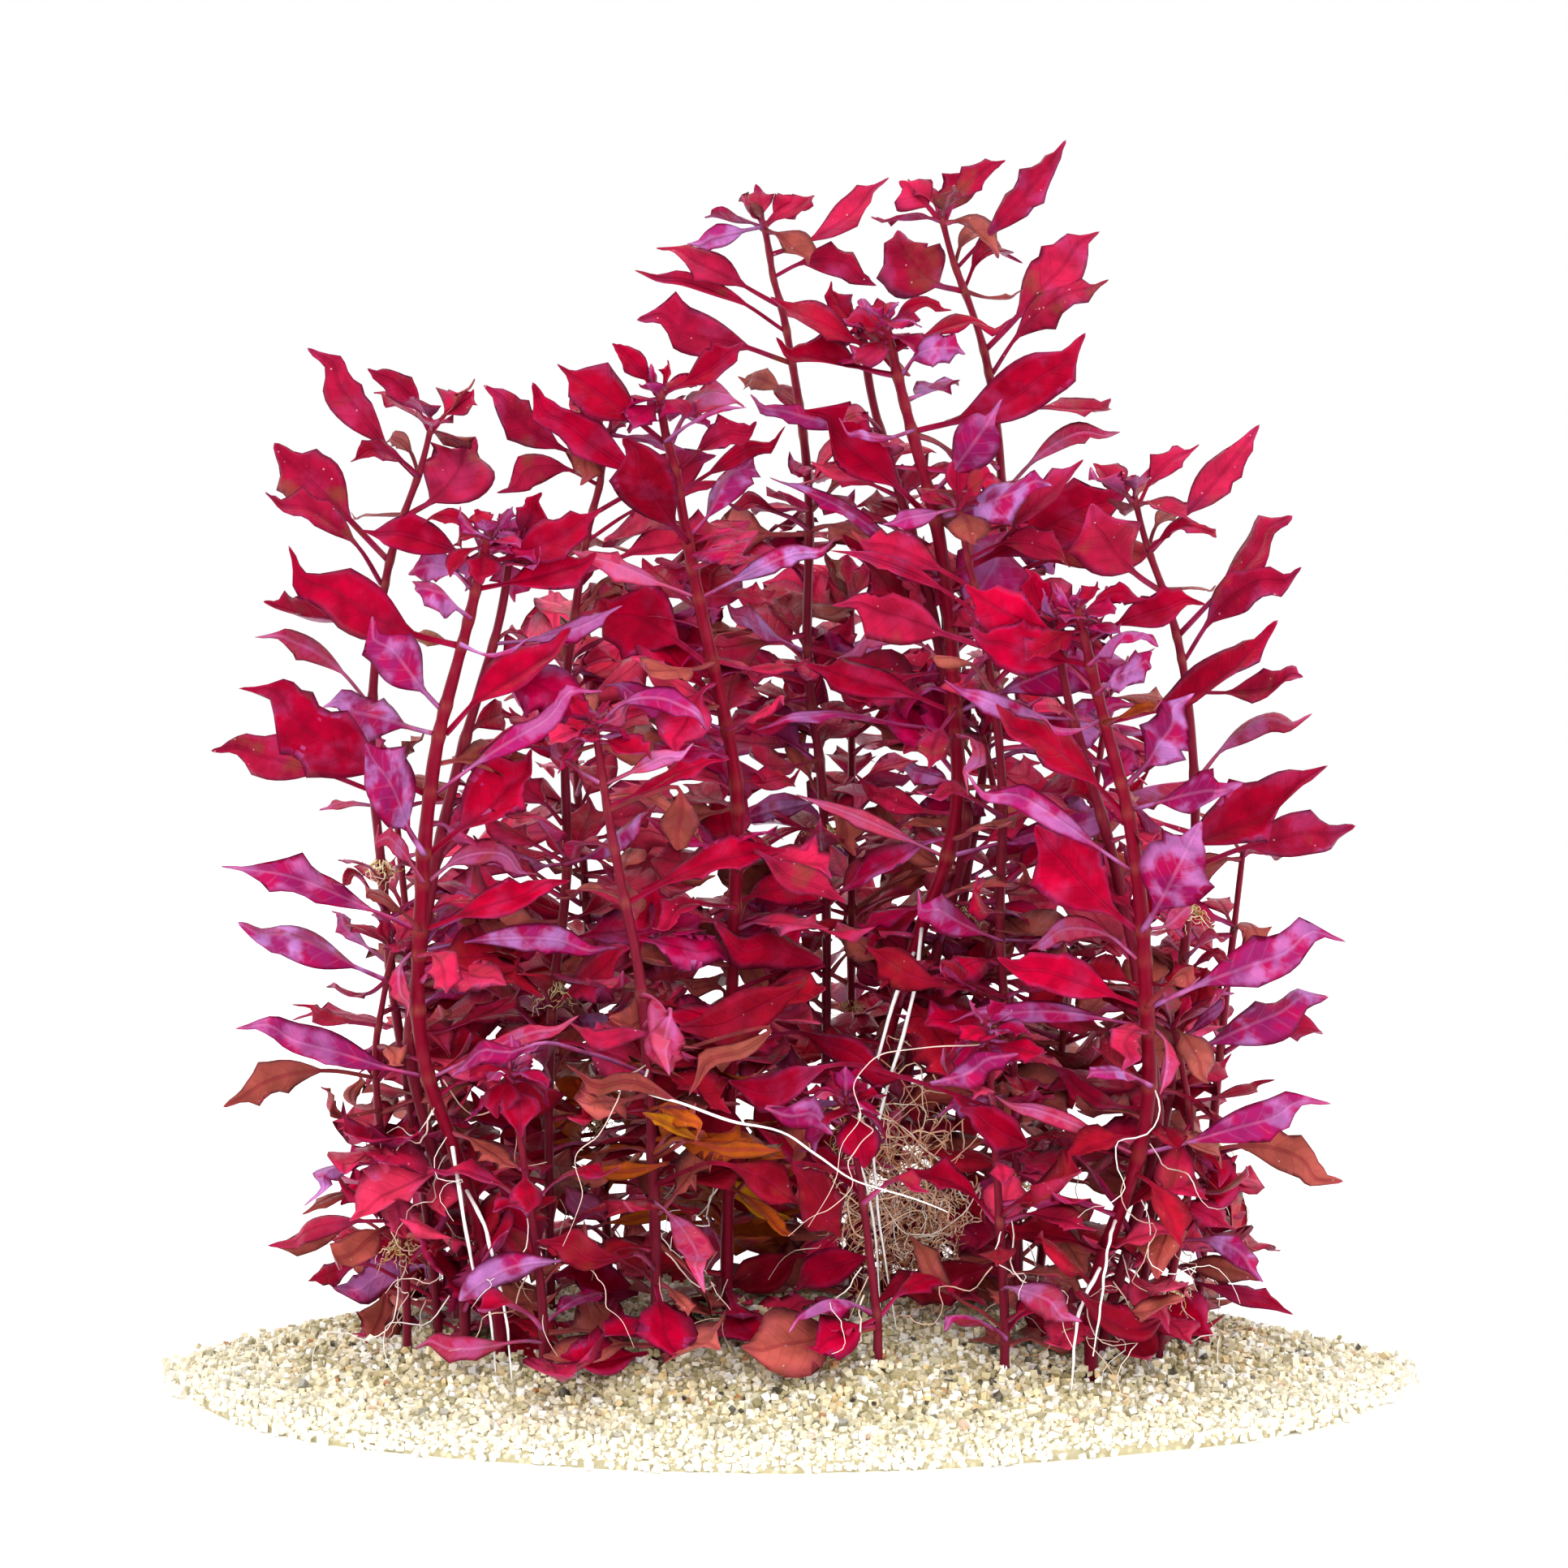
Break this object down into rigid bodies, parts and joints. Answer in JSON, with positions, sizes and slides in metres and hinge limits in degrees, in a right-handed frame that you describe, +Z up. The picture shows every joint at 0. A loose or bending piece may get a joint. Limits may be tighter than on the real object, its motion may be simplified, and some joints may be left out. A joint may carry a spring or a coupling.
{
  "type": "super red mini ludwigia plant group",
  "caption": "Planted group of red stem plants with paired pointed leaves, rooted in a low heap of loose sand, for the foreground or middle of an aquarium.",
  "frame": {"origin": "middle of the flat underside of the heap of sand", "axes": "+Z up along the stems, the side seen in the picture towards -Y, +X to its right"},
  "size_m": [0.184, 0.112, 0.1851],
  "materials": {
    "red_shoot": "satin living leaf and stem, crimson",
    "dusty_shoot": "satin living leaf and stem, dusty dark red",
    "roots": "matt fine white roots",
    "sand": "loose beige quartz grains"
  },
  "bodies": {
    "root": {"sand_mound": "sand", "root_tangle": "roots", "centre_front_shoot": "red_shoot", "centre_second_shoot": "red_shoot", "centre_side_shoot": "dusty_shoot", "centre_tall_shoot": "dusty_shoot", "centre_leaning_shoot": "dusty_shoot", "left_front_shoot": "red_shoot", "left_second_shoot": "red_shoot", "left_side_shoot": "dusty_shoot", "left_tall_shoot": "dusty_shoot", "left_leaning_shoot": "dusty_shoot", "right_front_shoot": "red_shoot", "right_second_shoot": "red_shoot", "right_side_shoot": "dusty_shoot", "right_tall_shoot": "dusty_shoot", "right_leaning_shoot": "dusty_shoot", "inner_shoot": "red_shoot", "low_shoot": "red_shoot", "young_shoot_1": "red_shoot", "young_shoot_2": "red_shoot", "young_shoot_3": "red_shoot", "back_shoot_1": "dusty_shoot", "back_shoot_2": "dusty_shoot", "back_shoot_3": "dusty_shoot", "back_shoot_4": "dusty_shoot", "back_shoot_5": "dusty_shoot"}
  },
  "joints": []
}
